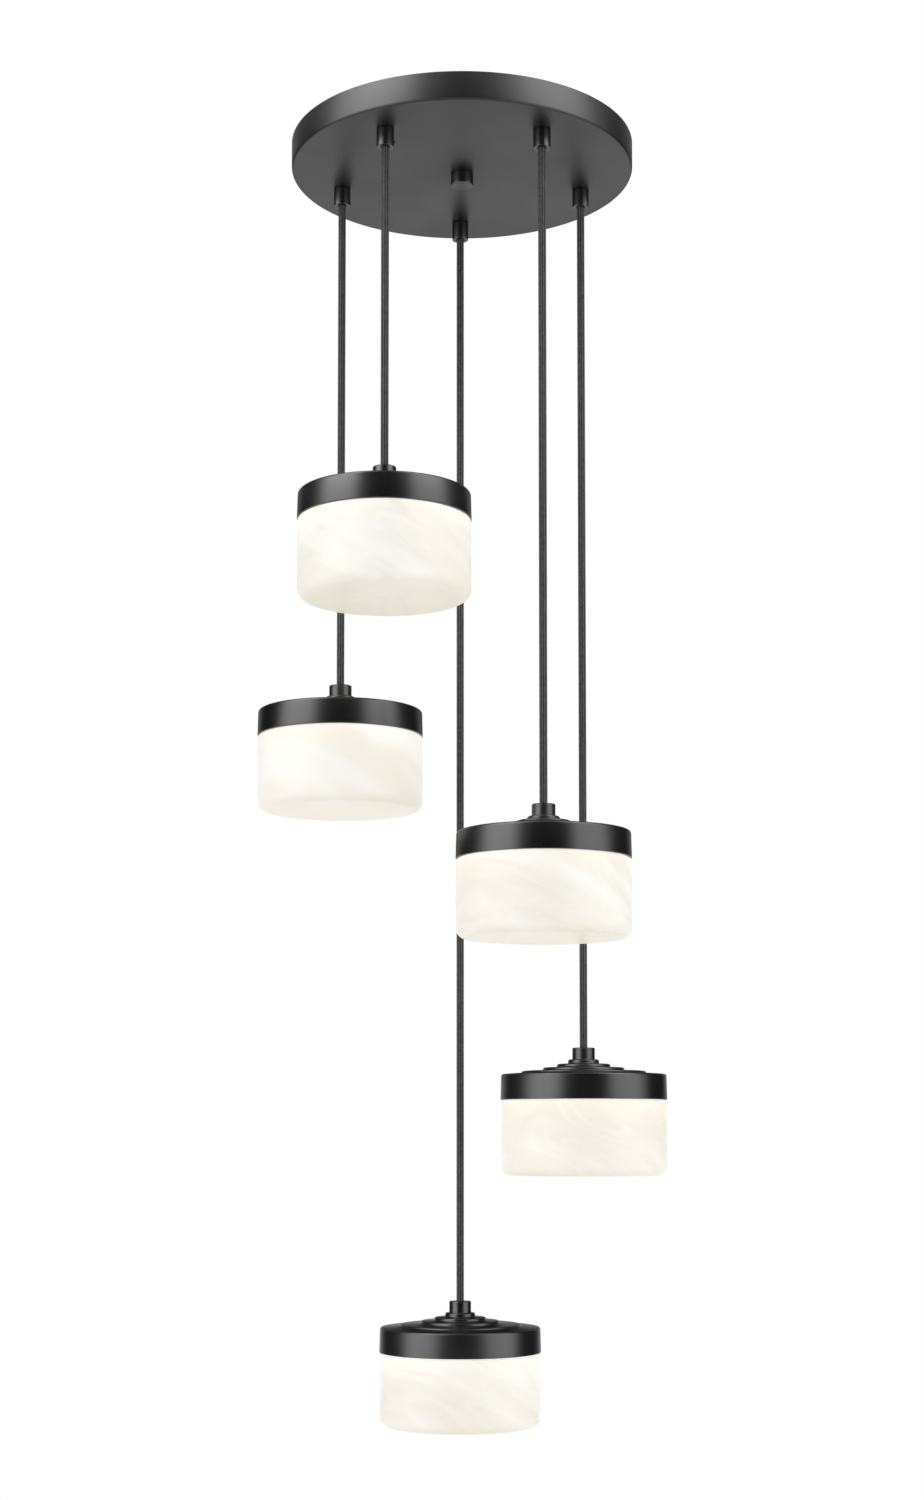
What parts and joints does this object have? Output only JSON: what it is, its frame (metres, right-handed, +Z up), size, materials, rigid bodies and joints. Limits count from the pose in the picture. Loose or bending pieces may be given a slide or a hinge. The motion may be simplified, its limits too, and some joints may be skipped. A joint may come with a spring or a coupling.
{
  "type": "pendant chandelier",
  "caption": "Pendant chandelier: flat round black canopy, straight woven cords of unequal length, and on each a drum of swirled white glass, lit from inside, under a stepped black metal cover.",
  "frame": {"origin": "centre of the crossbar's top face, in the ceiling plane, on the canopy's vertical axis", "axes": "+Z up to the ceiling box, +X to the right and -Y to the front of the picture; the longest cord hangs at +Y"},
  "size_m": [0.3654, 0.3548, 1.1492],
  "materials": {
    "black_steel": "matt black powder coat",
    "black_fittings": "satin black",
    "black_cover": "satin black powder coat on aluminium",
    "zinc_steel": "zinc plated",
    "spring_steel": "bright spring steel",
    "driver_case": "plain moulded",
    "terminal_plastic": "plain moulded",
    "wire_sleeve": "soft insulation",
    "woven_cord": "plain woven sleeve, black and grey",
    "alabaster_glass": "swirled white and cream, satin",
    "board_aluminium": "white solder mask"
  },
  "bodies": {
    "canopy": {"canopy_pan": "black_steel", "cord_grips": "black_fittings", "grip_nuts": "zinc_steel", "crossbar": "zinc_steel", "canopy_stud": "zinc_steel", "cap_nut": "black_fittings", "led_driver": "driver_case", "cord_cores": "wire_sleeve", "wire_terminals": "terminal_plastic", "driver_leads": "wire_sleeve"},
    "pendant_cord_1": {"cord_1": "woven_cord"},
    "lamp_head_1": {"cover_1": "black_cover", "glass_1": "alabaster_glass", "led_board_1": "board_aluminium", "glass_clips_1": "spring_steel"},
    "pendant_cord_2": {"cord_2": "woven_cord"},
    "lamp_head_2": {"cover_2": "black_cover", "glass_2": "alabaster_glass", "led_board_2": "board_aluminium", "glass_clips_2": "spring_steel"},
    "pendant_cord_3": {"cord_3": "woven_cord"},
    "lamp_head_3": {"cover_3": "black_cover", "glass_3": "alabaster_glass", "led_board_3": "board_aluminium", "glass_clips_3": "spring_steel"},
    "pendant_cord_4": {"cord_4": "woven_cord"},
    "lamp_head_4": {"cover_4": "black_cover", "glass_4": "alabaster_glass", "led_board_4": "board_aluminium", "glass_clips_4": "spring_steel"},
    "pendant_cord_5": {"cord_5": "woven_cord"},
    "lamp_head_5": {"cover_5": "black_cover", "glass_5": "alabaster_glass", "led_board_5": "board_aluminium", "glass_clips_5": "spring_steel"}
  },
  "joints": [
    {"name": "swing_1", "type": "hinge", "parent": "canopy", "child": "pendant_cord_1", "pos_m": [-0.10871, 0.03532, -0.04], "axis": [-0.309, -0.9511, 0], "range_deg": [-3.9, 3.9]},
    {"name": "lift_1", "type": "slide", "parent": "pendant_cord_1", "child": "lamp_head_1", "axis": [0, 0, 1], "range_m": [0, 0.04], "deforming": ["cord_1"]},
    {"name": "swing_2", "type": "hinge", "parent": "canopy", "child": "pendant_cord_2", "pos_m": [-0.06718, -0.09247, -0.04], "axis": [0.809, -0.5878, 0], "range_deg": [-6.2, 6.2]},
    {"name": "lift_2", "type": "slide", "parent": "pendant_cord_2", "child": "lamp_head_2", "axis": [0, 0, 1], "range_m": [0, 0.24], "deforming": ["cord_2"]},
    {"name": "swing_3", "type": "hinge", "parent": "canopy", "child": "pendant_cord_3", "pos_m": [0.06718, -0.09247, -0.04], "axis": [0.809, 0.5878, 0], "range_deg": [-3, 3]},
    {"name": "lift_3", "type": "slide", "parent": "pendant_cord_3", "child": "lamp_head_3", "axis": [0, 0, 1], "range_m": [0, 0.15], "deforming": ["cord_3"]},
    {"name": "swing_4", "type": "hinge", "parent": "canopy", "child": "pendant_cord_4", "pos_m": [0.10871, 0.03532, -0.04], "axis": [-0.309, 0.9511, 0], "range_deg": [-2.2, 2.2]},
    {"name": "lift_4", "type": "slide", "parent": "pendant_cord_4", "child": "lamp_head_4", "axis": [0, 0, 1], "range_m": [0, 0.07], "deforming": ["cord_4"]},
    {"name": "swing_5", "type": "hinge", "parent": "canopy", "child": "pendant_cord_5", "pos_m": [0, 0.1143, -0.04], "axis": [-1, 0, 0], "range_deg": [-1.7, 1.7]},
    {"name": "lift_5", "type": "slide", "parent": "pendant_cord_5", "child": "lamp_head_5", "axis": [0, 0, 1], "range_m": [0, 0.095], "deforming": ["cord_5"]}
  ]
}
